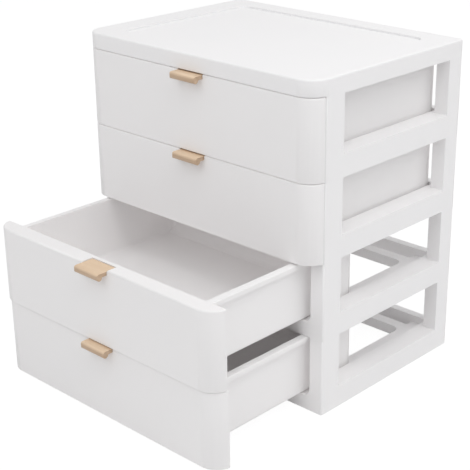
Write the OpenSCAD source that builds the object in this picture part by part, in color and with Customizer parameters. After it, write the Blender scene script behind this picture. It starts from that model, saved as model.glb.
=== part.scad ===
// Desktop mini drawers: four stacked frames, a top cover and four drawers with clip-in handles.
// Millimetres. +Z is up and +Y runs from the drawer fronts to the rear. The origin lies on the
// table, under the middle of the whole object as it stands with its lower drawers drawn out.
// Number 1 is the highest storey, number 4 the lowest.

/* [Cabinet] */
// Width over the two sides
cabinet_w = 250; // [220:5:300]
// Depth of the frame, from the front of the posts to the rear
frame_d = 171.5; // [165:0.5:220]
// Height of one storey
tier_h = 64.5; // [56:0.5:90]
// Height of the side rails at the foot of each storey
rail_h = 18.5; // [16:0.5:22]
// Width of the ledge on top of a side rail
ledge_w = 17.5; // [15:0.5:22]
// Thickness of the posts across the cabinet
post_t = 12.5; // [10:0.5:14]
// Depth of a front post, front to rear
front_post_d = 20.5; // [16:0.5:30]
// Depth of a rear post, front to rear
rear_post_d = 19; // [14:0.5:28]
// Plan radius of the rear corners
rear_corner_r = 4; // [3:0.5:9]
// Radius at the foot of the posts, where they run out into the ledges
window_r = 1; // [0.5:0.5:8]
// Wall of the mouldings
wall = 2.2; // [1.6:0.1:3]

/* [Shelf] */
// Height of the runners above the underside of their storey
runner_h = 12; // [9:0.5:14]
// Width of a runner inside the side rail
runner_w = 15.5; // [10:0.5:24]
// Thickness of the shelf plate
shelf_t = 2.4; // [1.8:0.1:3]
// Height of the ribs round the shelf openings, with the plate
rib_h = 9; // [5:0.5:9]
// Depth of the shelf strip behind the front posts' face
front_strip_d = 25; // [16:1:34]
// Width of the bar across the shelf
mid_bar_d = 10.5; // [8:0.5:16]
// Width of the narrow opening behind that bar
rear_slot_d = 7.5; // [6:0.5:14]
// Thickness of the rear rail that stops a closed drawer
rear_rail_d = 7.5; // [5:0.5:9]
// Corner radius of the shelf openings
shelf_corner_r = 7; // [3:0.5:10]
// Corner radius at the foot of the drawer opening in the front
mouth_corner_r = 7; // [3:0.5:9]

/* [Post pegs] */
// Width of a peg across the cabinet
peg_w = 6; // [4:0.5:7]
// Depth of a peg, front to rear
peg_d = 10; // [6:0.5:11]
// Height of a peg
peg_h = 6; // [4:0.5:8]
// Play between a peg and its socket, all round
peg_play = 0.2; // [0.1:0.05:0.5]

/* [Top cover] */
// Height of the cover
cover_h = 14; // [13:0.5:20]
// Thickness of its top plate under the tray
cover_t = 2.6; // [2:0.1:4]
// Depth of the tray in the top
tray_drop = 1.6; // [0.8:0.1:2.4]
// Border beside the tray, left and right
tray_side = 24; // [18:1:40]
// Border in front of the tray and behind it
tray_end = 20; // [18:1:40]
// Corner radius of the tray
tray_r = 9; // [4:1:14]

/* [Drawer] */
// How far a closed drawer's front stands before the posts
front_d = 14; // [12:0.5:18]
// Plan radius of the corners of a drawer front and of the cover above it
front_corner_r = 16.5; // [8:0.5:18]
// Radius along the top edges of the fronts and of the cover
crown_r = 1.5; // [0.6:0.1:2]
// Gap between a closed front and the posts
front_play = 0.6; // [0.4:0.1:2.5]
// Gap between one drawer front and the next
front_gap = 0.6; // [0.6:0.1:2]
// How far the fronts stand above the seams between the storeys
front_lift = 0.9; // [0:0.1:2]
// Depth of the ledge along the top of the front
ledge_d = 15; // [14:0.5:24]
// Play between the rim of a box and the storey above
rim_play = 0.5; // [0.3:0.1:2]
// Play between the box and the rear rail with the drawer home
home_play = 0.4; // [0.2:0.1:2]
// Play between the box wall and the side rail
box_play = 2; // [1:0.1:4]
// Play between the box floor and its runners
floor_play = 0.3; // [0.2:0.1:0.6]
// Plan radius of the rear corners of the box
box_corner_r = 10; // [6:0.5:14]
// Radius along the bottom edges of the box's sides
box_bottom_r = 4; // [3:0.5:8]
// Radius along the bottom edge of the box's rear wall
box_rear_r = 13; // [8:0.5:15]
// Width of the rim on top of the box walls
rim_w = 6; // [4:0.5:6.5]
// Height of the rim's outer edge
rim_h = 4; // [3:0.5:6]
// Radius along the rim's upper outer edge
rim_r = 1; // [0.4:0.1:2]

/* [Drawer travel] */
// Full travel of a drawer
travel = 105; // [60:1:105]
// Travel that drawer 3 has left before its stop
left_3 = 2; // [0:0.5:60]
// Travel that drawer 4 has left before its stop
left_4 = 3.5; // [0:0.5:60]
// Width of the stop lug under the box
lug_w = 36; // [16:2:60]
// Thickness of the stop lug
lug_t = 4; // [3:0.5:6]
// Drop of the stop lug below the box floor
lug_drop = 4; // [2.5:0.5:5]
// Play left at the stop with the drawer fully out
stop_play = 0.5; // [0.3:0.1:1]

/* [Handle] */
// Width of the handle
handle_w = 27; // [22:1:44]
// How far the handle stands out before the front
handle_out = 9; // [8.5:0.5:14]
// How far the handle reaches into the ledge
handle_in = 9.5; // [8:0.5:11]
// Thickness of the handle's plate
plate_t = 3; // [2:0.1:3.6]
// Depth of the plate's top below the ledge that it lies in
plate_drop = 0.7; // [0.3:0.1:1.5]
// Height of the nose that hangs down at the plate's front end
nose_h = 5.6; // [5:0.1:8]
// Radius of the rounded nose
nose_r = 2.4; // [1.6:0.1:2.5]
// Radius of the groove behind the nose, where the fingertips pull
groove_r = 1; // [0.5:0.1:1.4]
// Plan radius of the handle's corners
handle_corner_r = 1; // [0.5:0.1:2]
// Play between the plate and its seat, all round
seat_play = 0.4; // [0.2:0.1:0.8]
// Diameter of a handle peg
pin_d = 4; // [3:0.5:5]
// Length of a handle peg below the plate
pin_l = 7; // [5:0.5:10]
// Distance between the two handle pegs
pin_pitch = 14; // [10:1:16]
// Play between a handle peg and its bore, on the diameter
pin_play = 0.2; // [0.1:0.05:0.4]

/* [Hidden] */
$fn = 64;
tiers = 4;
// Overshoot that lets a cutter pass through a face
over = 1;
// Thickness of the stiffening ribs
rib_t = 1.6;
rail_rib_n = 4;
cover_rib_n = 3;
cover_cross_n = 2;
cover_rib_h = 4;
// Places of the ribs inside a front, as shares of the box's half width
front_rib_at = [-0.6, -0.2, 0.2, 0.6];
// Radius of the front edges of the posts, of the rear slot's corners and of small corners
front_edge_r = 1.5;
slot_r = 2;
small_r = 1;
// Thickness of the ledge on the front, and size of the bosses under it
ledge_t = 2.4;
boss_d = 8;
boss_h = 8;

half_w = cabinet_w / 2;
// How far the lower drawers stand open
open_3 = travel - left_3;
open_4 = travel - left_4;
// Faces of the cabinet along Y
frame_y1 = (frame_d + front_d + handle_out + max(open_3, open_4)) / 2;
frame_y0 = frame_y1 - frame_d;
front_y = frame_y0 - front_d;
// Rear face of the front posts and front face of the rear posts
post_y0 = frame_y0 + front_post_d;
post_y1 = frame_y1 - rear_post_d;
// Inner faces of the side rails and of the posts
rail_x = half_w - ledge_w;
post_x = half_w - post_t;
runner_x = rail_x - runner_w;
// Openings of the shelf along Y
open_y0 = frame_y0 + front_strip_d;
slot_y1 = frame_y1 - rear_rail_d;
slot_y0 = slot_y1 - rear_slot_d;
open_y1 = slot_y0 - mid_bar_d;
// Box of a drawer, its walls' outer faces; its rounded foot reaches over the rear rail
box_x = rail_x - box_play;
box_z0 = runner_h + floor_play;
foot_z = max(0, box_rear_r - (rail_h - box_z0));
box_y1 = slot_y1 - home_play + box_rear_r - sqrt(box_rear_r * box_rear_r - foot_z * foot_z);
ledge_y = front_y + ledge_d;
box_y0 = ledge_y - wall;
box_z1 = tier_h - rim_play;
// Front of a drawer, above the underside of its storey
front_z0 = front_lift + front_gap / 2;
front_z1 = tier_h + front_lift - front_gap / 2;
wing_y = frame_y0 - front_play;
// Stop lug, which runs in the large opening of the shelf
lug_y = open_y0 + travel + stop_play;
// Handle
plate_z1 = front_z1 - plate_drop;
plate_z0 = plate_z1 - plate_t;
seat_y = front_y + handle_in;
pin_y = front_y + handle_in / 2;

white = [0.95, 0.95, 0.95];
wood = [0.87, 0.72, 0.55];

// Underside of storey n, counted from the top
function tier_z(n) = (tiers - n) * tier_h;
// How far drawer n stands open
function drawn(n) = n == 3 ? open_3 : n == 4 ? open_4 : 0;

// Rectangle with the radius rf at its two front corners and rr at its two rear corners
module plate2d(x0, y0, x1, y1, rf, rr) {
    translate([x0 + rf, y0]) square([x1 - x0 - 2 * rf, rf]);
    translate([x0 + rr, y1 - rr]) square([x1 - x0 - 2 * rr, rr]);
    translate([x0, y0 + rf]) square([x1 - x0, y1 - y0 - rf - rr]);
    for (x = [x0 + rf, x1 - rf]) translate([x, y0 + rf]) circle(rf);
    for (x = [x0 + rr, x1 - rr]) translate([x, y1 - rr]) circle(rr);
}

// Block over that rectangle, from z0 to z1
module block(x0, y0, x1, y1, rf, rr, z0, z1) {
    translate([0, 0, z0]) linear_extrude(z1 - z0) plate2d(x0, y0, x1, y1, rf, rr);
}

// Solid of revolution that rounds a corner of a crowned block
module crowned_post(r, e, z0, z1) {
    rotate_extrude() {
        translate([0, z0]) square([r, z1 - z0 - e]);
        translate([0, z0]) square([r - e, z1 - z0]);
        translate([r - e, z1 - e]) circle(e);
    }
}

// Section from a0 to a1 whose two top edges are rounded with e
module crowned2d(a0, a1, z0, z1, e) {
    translate([a0, z0]) square([a1 - a0, z1 - z0 - e]);
    translate([a0 + e, z0]) square([a1 - a0 - 2 * e, z1 - z0]);
    for (a = [a0 + e, a1 - e]) translate([a, z1 - e]) circle(e);
}

// Block as above, its top edge rounded with e all round: three profiles and a revolved post a corner
module crowned(x0, y0, x1, y1, rf, rr, z0, z1, e) {
    for (x = [x0 + rf, x1 - rf]) translate([x, y0 + rf, 0]) crowned_post(rf, e, z0, z1);
    for (x = [x0 + rr, x1 - rr]) translate([x, y1 - rr, 0]) crowned_post(rr, e, z0, z1);
    translate([x0 + rf, 0, 0]) rotate([90, 0, 90]) linear_extrude(x1 - x0 - 2 * rf)
        crowned2d(y0, y0 + 2 * rf, z0, z1, e);
    translate([x0 + rr, 0, 0]) rotate([90, 0, 90]) linear_extrude(x1 - x0 - 2 * rr)
        crowned2d(y1 - 2 * rr, y1, z0, z1, e);
    translate([0, y1 - rr, 0]) rotate([90, 0, 0]) linear_extrude(y1 - y0 - rf - rr)
        crowned2d(x0, x1, z0, z1, e);
}

// Plain box from one corner to the opposite one
module box(x0, y0, z0, x1, y1, z1) {
    translate([x0, y0, z0]) cube([x1 - x0, y1 - y0, z1 - z0]);
}

// Its children on the right side and mirrored on the left
module both_sides() {
    children();
    mirror([1, 0, 0]) children();
}

// Pegs, or with play their sockets, at the four posts
module pegs(play, z0, z1) {
    x = half_w - post_t / 2;
    for (y = [frame_y0 + front_post_d / 2, frame_y1 - rear_post_d / 2]) both_sides()
        box(x - peg_w / 2 - play, y - peg_d / 2 - play, z0, x + peg_w / 2 + play, y + peg_d / 2 + play, z1);
}

module sockets() {
    pegs(peg_play, -over, peg_h + peg_play);
}

// ---- Frame of one storey: rails, shelf, runners and four posts ----

// Room that the drawer, the windows and the mouth take out of a storey
module storey_room() {
    block(-rail_x, post_y0, rail_x, slot_y1, small_r, rear_corner_r, runner_h, tier_h + over);
    // mouth in the front, with rounded lower corners
    translate([0, post_y0 + over, 0]) rotate([90, 0, 0]) linear_extrude(front_post_d + 2 * over)
        plate2d(-post_x, runner_h, post_x, tier_h + over, mouth_corner_r, over);
    // windows in both sides, with rounded lower corners, and the room between the posts
    translate([-half_w - over, 0, 0]) rotate([90, 0, 90]) linear_extrude(cabinet_w + 2 * over)
        plate2d(post_y0, rail_h, post_y1, tier_h + over, window_r, over / 2);
    box(-post_x, post_y0, rail_h, post_x, frame_y1 + over, tier_h + over);
    // large opening of the shelf and the slot behind its bar
    block(-runner_x, open_y0, runner_x, open_y1, shelf_corner_r, shelf_corner_r, -over, runner_h + over);
    block(-runner_x, slot_y0, runner_x, slot_y1, slot_r, slot_r, -over, runner_h + over);
}

// Hollow underside of a storey, which leaves walls and ribs
module storey_hollow() {
    rib_z = runner_h - rib_h;
    plate_z = runner_h - shelf_t;
    // ribs of the shelf end above the underside of the rails
    box(-rail_x, frame_y0 + wall, -over, rail_x, slot_y1, rib_z);
    // strip behind the front, and bar between the openings
    box(-rail_x, frame_y0 + wall, -over, rail_x, open_y0 - wall, plate_z);
    box(-rail_x, open_y1 + wall, -over, rail_x, slot_y0 - wall, plate_z);
    // rear rail
    box(-rail_x, slot_y1 + wall, -over, rail_x, frame_y1 - wall, rail_h - wall);
    both_sides() {
        box(runner_x + wall, frame_y0 + wall, -over, rail_x, slot_y1, plate_z);
        box(rail_x + wall, post_y0, -over, half_w - wall, post_y1, rail_h - wall);
    }
}

// Cross ribs that stiffen the hollow side rails
module rail_ribs() {
    span = post_y1 - post_y0;
    both_sides() for (i = [1 : rail_rib_n])
        translate([0, post_y0 + span * i / (rail_rib_n + 1), 0])
            box(rail_x + wall / 2, -rib_t / 2, rib_t, half_w - wall / 2, rib_t / 2, rail_h - wall / 2);
}

module tier_frame(n) {
    color(white) translate([0, 0, tier_z(n)]) {
        difference() {
            union() {
                block(-half_w, frame_y0, half_w, frame_y1, front_edge_r, rear_corner_r, 0, tier_h);
                pegs(0, tier_h - over, tier_h + peg_h);
            }
            storey_room();
            storey_hollow();
            sockets();
        }
        rail_ribs();
    }
}

// ---- Top cover: skirt, tray and ribbed underside ----
module top_cover() {
    plate_z = cover_h - tray_drop - cover_t;
    color(white) translate([0, 0, tier_z(0)]) {
        difference() {
            crowned(-half_w, front_y, half_w, frame_y1, front_corner_r, rear_corner_r, 0, cover_h, crown_r);
            block(tray_side - half_w, front_y + tray_end, half_w - tray_side, frame_y1 - tray_end,
                  tray_r, tray_r, cover_h - tray_drop, cover_h + over);
            block(-post_x, front_y + wall, post_x, frame_y1 - wall, front_corner_r - post_t, small_r,
                  -over, plate_z);
            box(wall - half_w, post_y0, -over, half_w - wall, post_y1, plate_z);
            // the skirt ends higher where it hangs over the highest drawer's front
            box(-half_w - over, front_y - over, -over, half_w + over, frame_y0, front_z0);
            sockets();
        }
        cover_ribs(plate_z);
    }
}

module cover_ribs(plate_z) {
    z0 = plate_z - cover_rib_h;
    for (i = [1 : cover_rib_n]) {
        x = -post_x + 2 * post_x * i / (cover_rib_n + 1);
        box(x - rib_t / 2, front_y + wall / 2, z0, x + rib_t / 2, frame_y1 - wall / 2, plate_z + wall / 2);
    }
    for (i = [1 : cover_cross_n]) {
        y = frame_y0 + frame_d * i / (cover_cross_n + 1);
        box(wall / 2 - half_w, y - rib_t / 2, z0, half_w - wall / 2, y + rib_t / 2, plate_z + wall / 2);
    }
}

// ---- Drawer ----

// Tub with rounded edges along its bottom and at its rear corners
module tub(x, y0, y1, z0, z1, rc, rb, rr) {
    intersection() {
        block(-x, y0, x, y1, small_r, rc, z0, z1);
        translate([0, y1 + over, 0]) rotate([90, 0, 0]) linear_extrude(y1 - y0 + 2 * over)
            plate2d(-x, z0, x, z1 + over, rb, over / 2);
        translate([-x - over, 0, 0]) rotate([90, 0, 90]) linear_extrude(2 * (x + over))
            tub_side2d(y0, y1, z0, z1 + over, rr);
    }
}

// Side outline of the tub, with the radius rr at the foot of its rear wall
module tub_side2d(y0, y1, z0, z1, rr) {
    translate([y0, z0]) square([y1 - y0 - rr, z1 - z0]);
    translate([y0, z0 + rr]) square([y1 - y0, z1 - z0 - rr]);
    translate([y1 - rr, z0 + rr]) circle(rr);
}

// Front of a drawer with a crowned top edge, ended before the posts
module front_outside() {
    intersection() {
        crowned(-half_w, front_y, half_w, frame_y0 + 2 * front_corner_r, front_corner_r, front_corner_r,
                front_z0, front_z1, crown_r);
        box(-half_w, front_y, front_z0, half_w, wing_y, front_z1);
    }
}

// Room inside the front, open to the rear and below
module front_hollow() {
    intersection() {
        block(wall - half_w, front_y + wall, half_w - wall, frame_y0 + front_corner_r,
              front_corner_r - wall, small_r, front_z0 - over, front_z1 - ledge_t);
        box(-half_w, front_y, front_z0 - over, half_w, wing_y + over, front_z1);
    }
}

// Outside of the box and of the rim that overhangs its walls
module box_outside() {
    hang = rim_w - wall;
    tub(box_x, box_y0, box_y1, box_z0, box_z1, box_corner_r, box_bottom_r, box_rear_r);
    crowned(-box_x - hang, box_y0 - 2 * rim_r, box_x + hang, box_y1 + hang, 2 * rim_r, box_corner_r + hang,
            box_z1 - rim_h, box_z1, rim_r);
}

module box_hollow() {
    tub(box_x - wall, ledge_y, box_y1 - wall, box_z0 + wall, front_z1 + over,
        box_corner_r - wall, box_bottom_r - wall, box_rear_r - wall);
}

// Walls inside the hollow front: the box's sides run on to the front, with ribs between them
module front_ribs() {
    both_sides() box(box_x - wall, front_y + wall / 2, box_z0, box_x, box_y0 + wall / 2, front_z1 - ledge_t / 2);
    for (x = front_rib_at * box_x)
        box(x - rib_t / 2, front_y + wall / 2, box_z0, x + rib_t / 2, box_y0 + wall / 2, front_z1 - ledge_t / 2);
}

// Places its children at the two pegs of a handle
module at_pins() {
    for (x = [-pin_pitch, pin_pitch] / 2) translate([x, pin_y, 0]) children();
}

module drawer(n) {
    color(white) translate([0, -drawn(n), tier_z(n)]) difference() {
        union() {
            difference() {
                front_outside();
                front_hollow();
            }
            front_ribs();
            box_outside();
            // stop lug under the floor
            box(-lug_w / 2, lug_y, box_z0 - lug_drop, lug_w / 2, lug_y + lug_t, box_z0 + wall / 2);
            // pad and bosses that carry the handle
            box(-handle_w / 2, front_y + wall / 2, plate_z0 - ledge_t, handle_w / 2, seat_y + wall,
                front_z1 - ledge_t / 2);
            at_pins() translate([0, 0, plate_z0 - boss_h]) cylinder(h = boss_h, d = boss_d);
        }
        box_hollow();
        // seat of the plate, open to the front
        box(-handle_w / 2 - seat_play, front_y - over, plate_z0, handle_w / 2 + seat_play,
            seat_y + seat_play, front_z1 + over);
        at_pins() translate([0, 0, plate_z0 - boss_h - over])
            cylinder(h = boss_h + 2 * over, d = pin_d + pin_play);
    }
}

// ---- Handle: plate in the ledge whose nose hangs down before the front, held by two pegs ----
module handle(n) {
    color(wood) translate([0, -drawn(n), tier_z(n)]) {
        intersection() {
            translate([-handle_w / 2, 0, 0]) rotate([90, 0, 90]) linear_extrude(handle_w) handle2d();
            block(-handle_w / 2, front_y - handle_out, handle_w / 2, seat_y, handle_corner_r, handle_corner_r,
                  plate_z1 - nose_h - over, plate_z1 + over);
        }
        at_pins() translate([0, 0, plate_z0 - pin_l]) cylinder(h = pin_l + plate_t / 2, d = pin_d);
    }
}

// Side outline of the handle: plate, rounded nose, and the round groove where they meet
module handle2d() {
    nose_y = front_y - handle_out + nose_r;
    nose_z = plate_z1 - nose_h + nose_r;
    groove_z = plate_z0 - groove_r;
    // The groove touches the plate's underside and the nose's lower round or its rear flat
    fall = max(0, nose_z - groove_z);
    groove_y = nose_y + sqrt((nose_r + groove_r) * (nose_r + groove_r) - fall * fall);
    translate([nose_y, plate_z0]) square([seat_y - nose_y, plate_t]);
    translate([nose_y, plate_z1 - nose_r]) circle(nose_r);
    translate([nose_y, nose_z]) circle(nose_r);
    translate([nose_y - nose_r, nose_z]) square([2 * nose_r, nose_h - 2 * nose_r]);
    difference() {
        polygon([[nose_y, nose_z], [groove_y, groove_z], [groove_y, plate_z0 + plate_t / 2],
                 [nose_y, plate_z0 + plate_t / 2]]);
        translate([groove_y, groove_z]) circle(groove_r);
    }
}

top_cover();
for (n = [1 : tiers]) {
    tier_frame(n);
    drawer(n);
    handle(n);
}
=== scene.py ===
# %% [markdown]
# # Desktop mini drawers
# A white moulded cabinet of four stacked storeys holds four drawers, each with a small
# wooden pull. The frame file brings every rigid piece in its true place and size, in
# metres, so this lesson is about the finish: soft moulded edges, matte plastic, wood,
# and the light of a product photograph.

# %% Load the frame
import bpy
import math
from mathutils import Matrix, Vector

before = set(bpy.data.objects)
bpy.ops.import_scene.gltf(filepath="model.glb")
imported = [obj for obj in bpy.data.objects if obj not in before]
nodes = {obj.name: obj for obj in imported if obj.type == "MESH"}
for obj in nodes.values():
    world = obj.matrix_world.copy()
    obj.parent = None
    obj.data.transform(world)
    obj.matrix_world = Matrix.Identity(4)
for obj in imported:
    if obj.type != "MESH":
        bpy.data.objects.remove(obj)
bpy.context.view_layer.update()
print("nodes:", sorted(nodes))

# %% [markdown]
# ## Camera
# The picture looks down on the front right corner from a little above the cabinet. A long
# lens keeps the uprights nearly parallel. A camera in Blender looks along its own -Z, so
# the view direction is worked out from a heading and a tilt and turned into a rotation.
# The picture's middle lies a little left of the lens axis, which the shift takes care of.

# %% Place the camera
picture_px = 470
camera_at = Vector((0.6439, -0.6475, 0.4828))
heading = math.radians(42.398)
tilt = math.radians(22.048)
focal_px = 1184.1
lens_axis_px = (272.9, 234.4)

camera_data = bpy.data.cameras.new("camera")
camera_data.sensor_width = 36.0
camera_data.lens = focal_px / picture_px * camera_data.sensor_width
camera_data.shift_x = 0.5 - lens_axis_px[0] / picture_px
camera_data.shift_y = lens_axis_px[1] / picture_px - 0.5
camera_data.clip_start = 0.01
camera = bpy.data.objects.new("camera", camera_data)
bpy.context.scene.collection.objects.link(camera)
view_direction = Vector((-math.sin(heading) * math.cos(tilt),
                         math.cos(heading) * math.cos(tilt),
                         -math.sin(tilt)))
camera.location = camera_at
camera.rotation_euler = view_direction.to_track_quat("-Z", "Y").to_euler()
bpy.context.scene.camera = camera
print("lens:", round(camera_data.lens, 1), "mm")

# %% [markdown]
# ## Studio
# The cabinet stands on a wide white sheet. White things on a white ground only read by
# soft shading, so most of the light comes from a pale world all round, and large lamps
# add a gentle direction. The camera sees the ground as plain white: a Light Path node
# lets the sheet glow for the camera only, while it still takes the cabinet's shadow.
# White plastic throws most light back, so the insides of the drawers need many diffuse
# bounces, set with the lights, before they look as light as they are.

# %% Build the ground
def principled(material):
    return material.node_tree.nodes["Principled BSDF"]


def new_material(name):
    material = bpy.data.materials.new(name)
    material.use_nodes = True
    return material


ground_size = 8.0
ground_glow = 0.88
glow_strength = 1.07
bpy.ops.object.select_all(action="DESELECT")
bpy.ops.mesh.primitive_plane_add(size=ground_size, location=(0, 0, 0))
ground = bpy.context.object
ground.name = "ground"
ground_white = new_material("ground_white")
tree = ground_white.node_tree
principled(ground_white).inputs["Base Color"].default_value = (0.9, 0.9, 0.9, 1)
principled(ground_white).inputs["Roughness"].default_value = 0.9
glow = tree.nodes.new("ShaderNodeEmission")
glow.inputs["Color"].default_value = (1, 1, 1, 1)
glow.inputs["Strength"].default_value = glow_strength
path = tree.nodes.new("ShaderNodeLightPath")
share = tree.nodes.new("ShaderNodeMath")
share.operation = "MULTIPLY"
share.inputs[1].default_value = ground_glow
mix = tree.nodes.new("ShaderNodeMixShader")
tree.links.new(path.outputs["Is Camera Ray"], share.inputs[0])
tree.links.new(share.outputs[0], mix.inputs["Fac"])
tree.links.new(principled(ground_white).outputs[0], mix.inputs[1])
tree.links.new(glow.outputs[0], mix.inputs[2])
tree.links.new(mix.outputs[0], tree.nodes["Material Output"].inputs["Surface"])
ground.data.materials.append(ground_white)
print("ground:", ground_size, "m square")

# %% [markdown]
# ## Light
# The camera sees the room as plain white as well, while the light it gives is weaker and
# a little cool. The strongest lamp stands high on the right, the next in front, and one
# behind keeps the rear of the top from going grey. All are large, so no shadow is hard.

# %% Light the room
room_light = 0.41
world = bpy.data.worlds.new("room")
world.use_nodes = True
bpy.context.scene.world = world
tree = world.node_tree
soft = tree.nodes["Background"]
soft.inputs["Color"].default_value = (0.985, 0.985, 1.0, 1)
soft.inputs["Strength"].default_value = room_light
seen = tree.nodes.new("ShaderNodeBackground")
seen.inputs["Color"].default_value = (1, 1, 1, 1)
seen.inputs["Strength"].default_value = 1.0
path = tree.nodes.new("ShaderNodeLightPath")
mix = tree.nodes.new("ShaderNodeMixShader")
tree.links.new(path.outputs["Is Camera Ray"], mix.inputs["Fac"])
tree.links.new(soft.outputs[0], mix.inputs[1])
tree.links.new(seen.outputs[0], mix.inputs[2])
tree.links.new(mix.outputs[0], tree.nodes["World Output"].inputs["Surface"])


cabinet_middle = Vector((0, 0, 0.14))


def softbox(name, at, size, watts):
    """A square lamp that faces the middle of the cabinet."""
    data = bpy.data.lights.new(name, "AREA")
    data.size = size
    data.energy = watts
    lamp = bpy.data.objects.new(name, data)
    bpy.context.scene.collection.objects.link(lamp)
    lamp.location = at
    aim = cabinet_middle - lamp.location
    lamp.rotation_euler = aim.to_track_quat("-Z", "Y").to_euler()
    return lamp


softbox("right_high", (1.1, 0.1, 1.5), 1.6, 13)
softbox("front_high", (0.1, -1.1, 1.5), 1.6, 9)
softbox("front_left", (-1.2, -1.2, 0.9), 1.2, 2)
softbox("rear_high", (-0.2, 1.3, 1.4), 1.6, 5.5)

bpy.context.scene.view_settings.view_transform = "Standard"
bpy.context.scene.cycles.diffuse_bounces = 12
bpy.context.scene.cycles.max_bounces = 16

# %% [markdown]
# ## Shared surface effects
# A moulded surface is never a perfect mirror of its tool. The tool's steel is spark
# eroded, which leaves a fine even grain, and large faces sink a little as they cool. Both
# plastics of this object need that, so it is one node group with a height output. A second
# group gives the faint marks of handling, which change only how rough the surface is.

# %% Build the shared node groups
def new_group(name, inputs, outputs):
    """A shader node group with float inputs (name, value) and outputs (name, type)."""
    group = bpy.data.node_groups.new(name, "ShaderNodeTree")
    for label, value in inputs:
        socket = group.interface.new_socket(label, in_out="INPUT", socket_type="NodeSocketFloat")
        socket.default_value = value
    for label, kind in outputs:
        group.interface.new_socket(label, in_out="OUTPUT", socket_type=kind)
    return group, group.nodes.new("NodeGroupInput"), group.nodes.new("NodeGroupOutput")


def noise(tree, coordinates, detail=2.0):
    node = tree.nodes.new("ShaderNodeTexNoise")
    node.inputs["Detail"].default_value = detail
    tree.links.new(coordinates, node.inputs["Vector"])
    return node


def math_node(tree, operation, first, second):
    node = tree.nodes.new("ShaderNodeMath")
    node.operation = operation
    for socket, value in zip(node.inputs, (first, second)):
        if isinstance(value, (int, float)):
            socket.default_value = value
        else:
            tree.links.new(value, socket)
    return node.outputs[0]


def object_coordinates(tree):
    return tree.nodes.new("ShaderNodeTexCoord").outputs["Object"]


def split_vector(tree, vector):
    node = tree.nodes.new("ShaderNodeSeparateXYZ")
    tree.links.new(vector, node.inputs[0])
    return node.outputs


moulded, ports, result = new_group(
    "moulded_surface",
    [("Grain Scale", 1400.0), ("Sink Scale", 14.0), ("Sink Share", 0.6)],
    [("Height", "NodeSocketFloat"), ("Shade", "NodeSocketFloat")])
place = object_coordinates(moulded)
grain = noise(moulded, place)
moulded.links.new(ports.outputs["Grain Scale"], grain.inputs["Scale"])
sink = noise(moulded, place, 1.0)
moulded.links.new(ports.outputs["Sink Scale"], sink.inputs["Scale"])
deep = math_node(moulded, "MULTIPLY", sink.outputs["Fac"], ports.outputs["Sink Share"])
moulded.links.new(math_node(moulded, "ADD", grain.outputs["Fac"], deep), result.inputs["Height"])
moulded.links.new(sink.outputs["Fac"], result.inputs["Shade"])

handled, ports, result = new_group(
    "handling_marks",
    [("Scale", 30.0), ("Roughness", 0.5), ("Spread", 0.08)],
    [("Roughness", "NodeSocketFloat")])
marks = noise(handled, object_coordinates(handled), 6.0)
handled.links.new(ports.outputs["Scale"], marks.inputs["Scale"])
about_zero = math_node(handled, "SUBTRACT", marks.outputs["Fac"], 0.5)
change = math_node(handled, "MULTIPLY", about_zero, ports.outputs["Spread"])
handled.links.new(math_node(handled, "ADD", change, ports.outputs["Roughness"]),
                  result.inputs["Roughness"])
print("groups:", moulded.name, handled.name)

# %% [markdown]
# ## Painted shade in the tray's crease
# The step round the tray on top gets a faint grey line at its foot and on its wall. This is
# painted shade that stands in for the shading of that step. The group measures how far a point
# is from the outline of the tray, a rectangle with round corners, and fades the painted shade
# out within a few millimetres.
# It works between the tray's floor and its rim only.

# %% Build the painted crease shade mask
tray_low = Vector((-0.101, -0.01675, 0.2704))
tray_high = Vector((0.101, 0.12875, 0.272))
tray_corner = 0.009
below_floor = 0.0004
below_rim = 0.0003
crease, ports, result = new_group(
    "tray_crease_painted_shade", [("Corner", tray_corner), ("Reach", 0.0025)], [("Mask", "NodeSocketFloat")])
at = split_vector(crease, object_coordinates(crease))
squares = []
for axis, index in (("X", 0), ("Y", 1)):
    middle = (tray_low[index] + tray_high[index]) / 2
    half = (tray_high[index] - tray_low[index]) / 2
    aside = math_node(crease, "ABSOLUTE", math_node(crease, "SUBTRACT", at[axis], middle), 0.0)
    straight = math_node(crease, "SUBTRACT", half, ports.outputs["Corner"])
    past = math_node(crease, "MAXIMUM", math_node(crease, "SUBTRACT", aside, straight), 0.0)
    squares.append(math_node(crease, "MULTIPLY", past, past))
from_corner = math_node(crease, "SQRT", math_node(crease, "ADD", *squares), 0.0)
away = math_node(crease, "SUBTRACT", from_corner, ports.outputs["Corner"])
away = math_node(crease, "ABSOLUTE", away, 0.0)
share_away = math_node(crease, "DIVIDE", away, ports.outputs["Reach"])
near = math_node(crease, "MAXIMUM", math_node(crease, "SUBTRACT", 1.0, share_away), 0.0)
above = math_node(crease, "GREATER_THAN", at["Z"], tray_low.z - below_floor)
within = math_node(crease, "LESS_THAN", at["Z"], tray_high.z - below_rim)
in_tray = math_node(crease, "MULTIPLY", above, within)
crease.links.new(math_node(crease, "MULTIPLY", near, in_tray), result.inputs["Mask"])
print("nodes of the crease mask:", len(crease.nodes))

# %% [markdown]
# ## White plastic
# The cabinet and the drawers are the same polystyrene, in two shades that hardly differ.
# The base colour moves a hair between a cool and a warm white where the moulding is
# thicker or thinner, and the grain goes through a Bump node, since it is far too fine
# to model.

# %% Make the plastics
def use_group(tree, group, **values):
    node = tree.nodes.new("ShaderNodeGroup")
    node.node_tree = group
    for label, value in values.items():
        node.inputs[label.replace("_", " ")].default_value = value
    return node


def mix_colors(tree, factor, first, second):
    """Blends two colours, each a fixed one or a socket."""
    node = tree.nodes.new("ShaderNodeMix")
    node.data_type = "RGBA"
    for label, color in (("A", first), ("B", second)):
        if isinstance(color, tuple):
            node.inputs[label].default_value = color
        else:
            tree.links.new(color, node.inputs[label])
    tree.links.new(factor, node.inputs["Factor"])
    return node.outputs["Result"]


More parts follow.
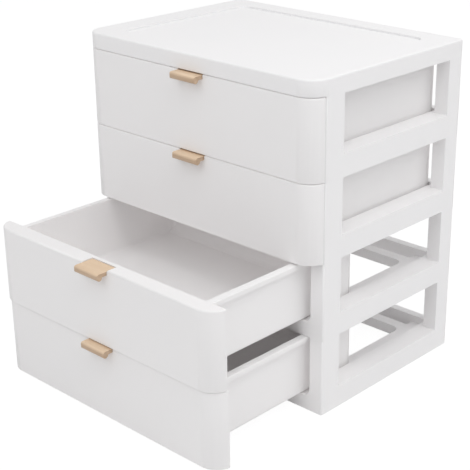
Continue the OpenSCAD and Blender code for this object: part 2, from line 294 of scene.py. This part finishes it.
def add_bump(tree, height, strength, shader):
    """Lets a height drive the normal of a shader through a Bump node."""
    bump = tree.nodes.new("ShaderNodeBump")
    bump.inputs["Strength"].default_value = strength
    bump.inputs["Distance"].default_value = bump_distance
    tree.links.new(height, bump.inputs["Height"])
    tree.links.new(bump.outputs["Normal"], shader.inputs["Normal"])


# The grey below is painted shade for the tray's crease, not a colour of the plastic.
crease_painted_shade_grey = (0.865, 0.865, 0.865, 1)
bump_distance = 0.0001


def white_plastic(name, cool, warm, roughness):
    material = new_material(name)
    tree = material.node_tree
    shader = principled(material)
    surface = use_group(tree, moulded)
    unshaded_white = mix_colors(tree, surface.outputs["Shade"], cool, warm)
    # Painted shade: the crease mask greys the base colour along the tray's step.
    tree.links.new(mix_colors(tree, use_group(tree, crease).outputs["Mask"], unshaded_white, crease_painted_shade_grey),
                   shader.inputs["Base Color"])
    marks = use_group(tree, handled, Roughness=roughness)
    tree.links.new(marks.outputs["Roughness"], shader.inputs["Roughness"])
    add_bump(tree, surface.outputs["Height"], 0.25, shader)
    shader.inputs["IOR"].default_value = 1.5
    shader.inputs["Specular IOR Level"].default_value = 0.4
    return material


cabinet_plastic = white_plastic("cabinet_plastic", (0.918, 0.912, 0.914, 1),
                                (0.930, 0.920, 0.918, 1), roughness=0.62)
drawer_plastic = white_plastic("drawer_plastic", (0.920, 0.910, 0.908, 1),
                               (0.932, 0.918, 0.914, 1), roughness=0.55)
print("plastics:", cabinet_plastic.name, drawer_plastic.name)

# %% [markdown]
# ## Wood of the pulls
# The pulls are a light beech with a satin lacquer. Its grain runs across the drawer, along
# X, so the noise is stretched a lot along that axis. The upper face is painted lighter and
# the nose and the underside darker, as painted light and shade, so a small group tells
# them apart by how far a face turns away from straight up.

# %% Make the wood
wood_grain, ports, result = new_group(
    "wood_grain",
    [("Scale", 260.0), ("Stretch", 0.06)],
    [("Figure", "NodeSocketFloat"), ("Height", "NodeSocketFloat")])
along = wood_grain.nodes.new("ShaderNodeCombineXYZ")
along.inputs["Y"].default_value = 1.0
along.inputs["Z"].default_value = 1.0
wood_grain.links.new(ports.outputs["Stretch"], along.inputs["X"])
stretched = wood_grain.nodes.new("ShaderNodeVectorMath")
stretched.operation = "MULTIPLY"
wood_grain.links.new(object_coordinates(wood_grain), stretched.inputs[0])
wood_grain.links.new(along.outputs[0], stretched.inputs[1])
fibres = noise(wood_grain, stretched.outputs[0], 5.0)
wood_grain.links.new(ports.outputs["Scale"], fibres.inputs["Scale"])
wood_grain.links.new(fibres.outputs["Fac"], result.inputs["Figure"])
wood_grain.links.new(fibres.outputs["Fac"], result.inputs["Height"])

# Painted light and shade: faces turned away from straight up get the darker wood colour.
facing_shade_group, ports, result = new_group(
    "painted_shade_by_facing", [("Turn", 0.9), ("Contrast", 1.4)], [("Mask", "NodeSocketFloat")])
facing = split_vector(facing_shade_group, facing_shade_group.nodes.new("ShaderNodeTexCoord").outputs["Normal"])
turned = math_node(facing_shade_group, "SUBTRACT", ports.outputs["Turn"], facing["Z"])
facing_shade_group.links.new(math_node(facing_shade_group, "MULTIPLY", turned, ports.outputs["Contrast"]),
                 result.inputs["Mask"])

beech = new_material("handle_wood")
tree = beech.node_tree
figure = use_group(tree, wood_grain)
# Two copies of the beech colour: a lighter one painted for the lit upper face, a darker one
# painted for the shaded nose and underside.
lit_wood_colour = mix_colors(tree, figure.outputs["Figure"],
                    (0.72, 0.52, 0.34, 1), (0.90, 0.71, 0.52, 1))
shaded_wood_colour = mix_colors(tree, figure.outputs["Figure"],
                 (0.46, 0.31, 0.20, 1), (0.66, 0.49, 0.34, 1))
tree.links.new(mix_colors(tree, use_group(tree, facing_shade_group).outputs["Mask"], lit_wood_colour, shaded_wood_colour),
               principled(beech).inputs["Base Color"])
marks = use_group(tree, handled, Roughness=0.45)
tree.links.new(marks.outputs["Roughness"], principled(beech).inputs["Roughness"])
add_bump(tree, figure.outputs["Height"], 0.2, principled(beech))
print("wood:", beech.name)

# %% [markdown]
# ## Soft moulded edges
# No moulded edge is razor sharp, and it is the thin line of light along each edge that
# draws a white object on a white ground. The rigid pieces keep their meshes, so the
# rounding is left to live modifiers: Weld joins the loose triangles, and Bevel rounds
# what is still sharp, but leaves the crowned edges alone, whose facets meet at small
# angles. Loop slide is off, so that the width stays even across the triangles.

# %% Round the edges and set the materials
def soften(piece, width):
    """Rounds the sharp edges of a rigid piece with modifiers."""
    joined = piece.modifiers.new("weld", "WELD")
    joined.merge_threshold = 0.00001
    bevel = piece.modifiers.new("soft_edges", "BEVEL")
    bevel.width = width
    bevel.segments = 2
    bevel.limit_method = "ANGLE"
    bevel.angle_limit = math.radians(35)
    bevel.harden_normals = True
    bevel.miter_outer = "MITER_ARC"
    bevel.loop_slide = False


finishes = {"top_cover": cabinet_plastic, "tier_frame": cabinet_plastic,
            "drawer": drawer_plastic, "handle": beech}
edge_rounding = {"top_cover": 0.0003, "tier_frame": 0.0006,
                 "drawer": 0.0007, "handle": 0.0005}
for name, piece in sorted(nodes.items()):
    kind = name.rstrip("_1234")
    piece.data.materials.clear()
    piece.data.materials.append(finishes[kind])
    soften(piece, edge_rounding[kind])
print("finished", len(nodes), "pieces")
